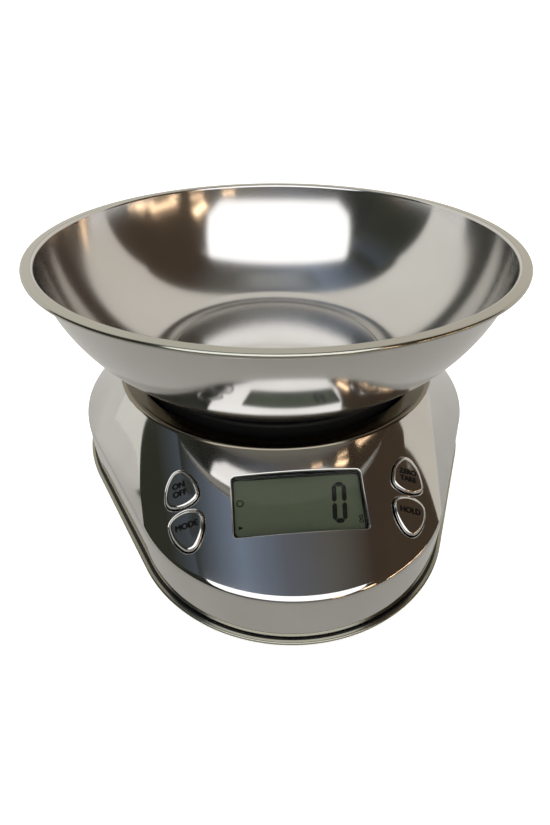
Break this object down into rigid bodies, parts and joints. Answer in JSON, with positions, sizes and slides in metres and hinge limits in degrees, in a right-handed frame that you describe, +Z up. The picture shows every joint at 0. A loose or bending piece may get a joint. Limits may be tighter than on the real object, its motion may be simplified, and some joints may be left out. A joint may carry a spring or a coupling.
{
  "type": "kitchen scale",
  "caption": "Electronic kitchen scale: polished steel base with a sloping display panel and press buttons, and a wide lift-off steel bowl on a weighing platform.",
  "frame": {"origin": "on the surface it stands on, at the centre of the base in plan", "axes": "+Z up, display and buttons face -Y, +X to the right of someone facing the display"},
  "size_m": [0.225, 0.2566, 0.1134],
  "materials": {
    "bowl_steel": "spun stainless steel, polished",
    "cover_steel": "drawn stainless steel, mirror polished",
    "satin_chrome": "satin chrome plate on moulded caps",
    "black_abs": "moulded black ABS",
    "grey_abs": "moulded dark grey ABS, fine texture",
    "clear_acrylic": "clear moulded acrylic",
    "lcd_cell": "reflective liquid crystal cell, grey-green",
    "silicone_rubber": "pale silicone rubber",
    "circuit_board": "solder-masked glass epoxy board",
    "potting_epoxy": "black epoxy",
    "switch_plastic": "black moulded switch",
    "beam_aluminium": "milled aluminium",
    "zinc_steel": "zinc plated steel",
    "battery_case": "plain lacquered steel case",
    "wire_pvc": "soft PVC insulation",
    "foot_rubber": "moulded black rubber"
  },
  "bodies": {
    "base": {"base_tray": "grey_abs", "steel_cover": "cover_steel", "upper_housing": "black_abs", "display_lens": "clear_acrylic", "display_frame": "black_abs", "lcd_glass": "lcd_cell", "contact_strip": "silicone_rubber", "main_board": "circuit_board", "controller_chip": "potting_epoxy", "board_screws": "zinc_steel", "key_switches": "switch_plastic", "load_cell": "beam_aluminium", "gauge_coating": "silicone_rubber", "load_cell_base_screws": "zinc_steel", "overload_stop_screw": "zinc_steel", "battery": "battery_case", "battery_snap": "potting_epoxy", "battery_leads": "wire_pvc", "load_cell_lead": "wire_pvc", "housing_screws": "zinc_steel", "foot_front_left": "foot_rubber", "foot_front_right": "foot_rubber", "foot_rear_left": "foot_rubber", "foot_rear_right": "foot_rubber"},
    "platform": {"weighing_platform": "black_abs", "platform_spider": "zinc_steel", "platform_screws": "zinc_steel", "load_cell_spacer": "beam_aluminium", "load_cell_top_screws": "zinc_steel"},
    "bowl": {"bowl": "bowl_steel"},
    "battery_door": {"battery_door": "grey_abs"},
    "key_on_off": {"button_on_off": "satin_chrome", "plunger_on_off": "switch_plastic"},
    "key_tare": {"button_tare": "satin_chrome", "plunger_tare": "switch_plastic"},
    "key_mode": {"button_mode": "satin_chrome", "plunger_mode": "switch_plastic"},
    "key_hold": {"button_hold": "satin_chrome", "plunger_hold": "switch_plastic"}
  },
  "joints": [
    {"name": "platform_travel", "type": "slide", "parent": "base", "child": "platform", "axis": [0, 0, -1], "range_m": [0, 0.0006], "stiffness_N_per_m": 60000, "deforming": ["load_cell"]},
    {"name": "bowl_lift", "type": "slide", "parent": "platform", "child": "bowl", "axis": [0, 0, 1], "range_m": [0, 0.12]},
    {"name": "battery_door_hinge", "type": "hinge", "parent": "base", "child": "battery_door", "pos_m": [0, 0.06235, 0.00305], "axis": [-1, 0, 0], "range_deg": [0, 100]},
    {"name": "press_on_off", "type": "slide", "parent": "base", "child": "key_on_off", "axis": [0, 0.4108, -0.9117], "range_m": [0, 0.0007], "stiffness_N_per_m": 800},
    {"name": "press_tare", "type": "slide", "parent": "base", "child": "key_tare", "axis": [0, 0.4108, -0.9117], "range_m": [0, 0.0007], "stiffness_N_per_m": 800},
    {"name": "press_mode", "type": "slide", "parent": "base", "child": "key_mode", "axis": [0, 0.4108, -0.9117], "range_m": [0, 0.0007], "stiffness_N_per_m": 800},
    {"name": "press_hold", "type": "slide", "parent": "base", "child": "key_hold", "axis": [0, 0.4108, -0.9117], "range_m": [0, 0.0007], "stiffness_N_per_m": 800}
  ]
}
